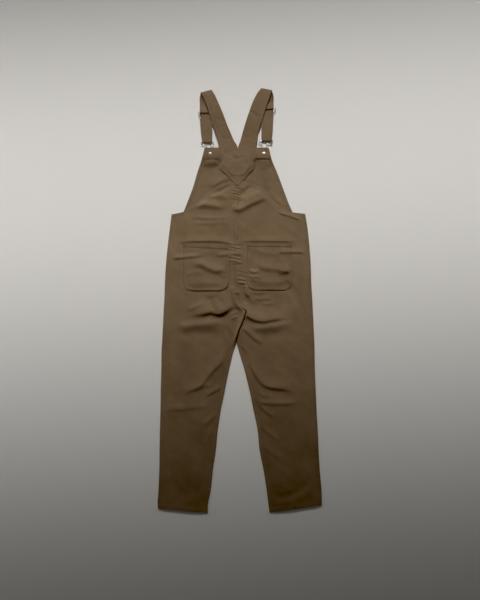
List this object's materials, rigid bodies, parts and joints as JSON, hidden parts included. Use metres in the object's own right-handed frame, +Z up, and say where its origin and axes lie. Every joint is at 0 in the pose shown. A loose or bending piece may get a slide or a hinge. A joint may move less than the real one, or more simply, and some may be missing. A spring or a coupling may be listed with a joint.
{
  "type": "bib overalls",
  "caption": "Bib overalls in khaki twill, laid flat with the back up: low back, V yoke, straps with sliders and wire buckles, patch pockets and straight legs.",
  "frame": {"origin": "under the middle of the bounding box, on the surface that the garment lies on", "axes": "+X across the garment to the picture's right, +Y from the hems to the shoulder folds, +Z up from the surface through the back"},
  "size_m": [0.5738, 1.4858, 0.0154],
  "materials": {
    "twill": "matte khaki cotton twill",
    "strap_twill": "matte khaki cotton twill, doubled",
    "nickel": "bright nickel plate",
    "tack": "bright plate, warm"
  },
  "bodies": {
    "root": {"back_panel_left": "twill", "back_panel_right": "twill", "front_leg_left": "twill", "front_leg_right": "twill", "front_bib": "twill", "bib_top_hem": "twill", "back_yoke": "strap_twill", "back_pocket_left": "twill", "back_pocket_right": "twill", "strap_left": "strap_twill", "strap_right": "strap_twill", "slider_left": "nickel", "slider_right": "nickel", "buckle_left": "nickel", "buckle_right": "nickel", "bib_button_left": "nickel", "bib_button_right": "nickel", "button_back_left": "tack", "button_back_right": "tack"}
  },
  "joints": []
}
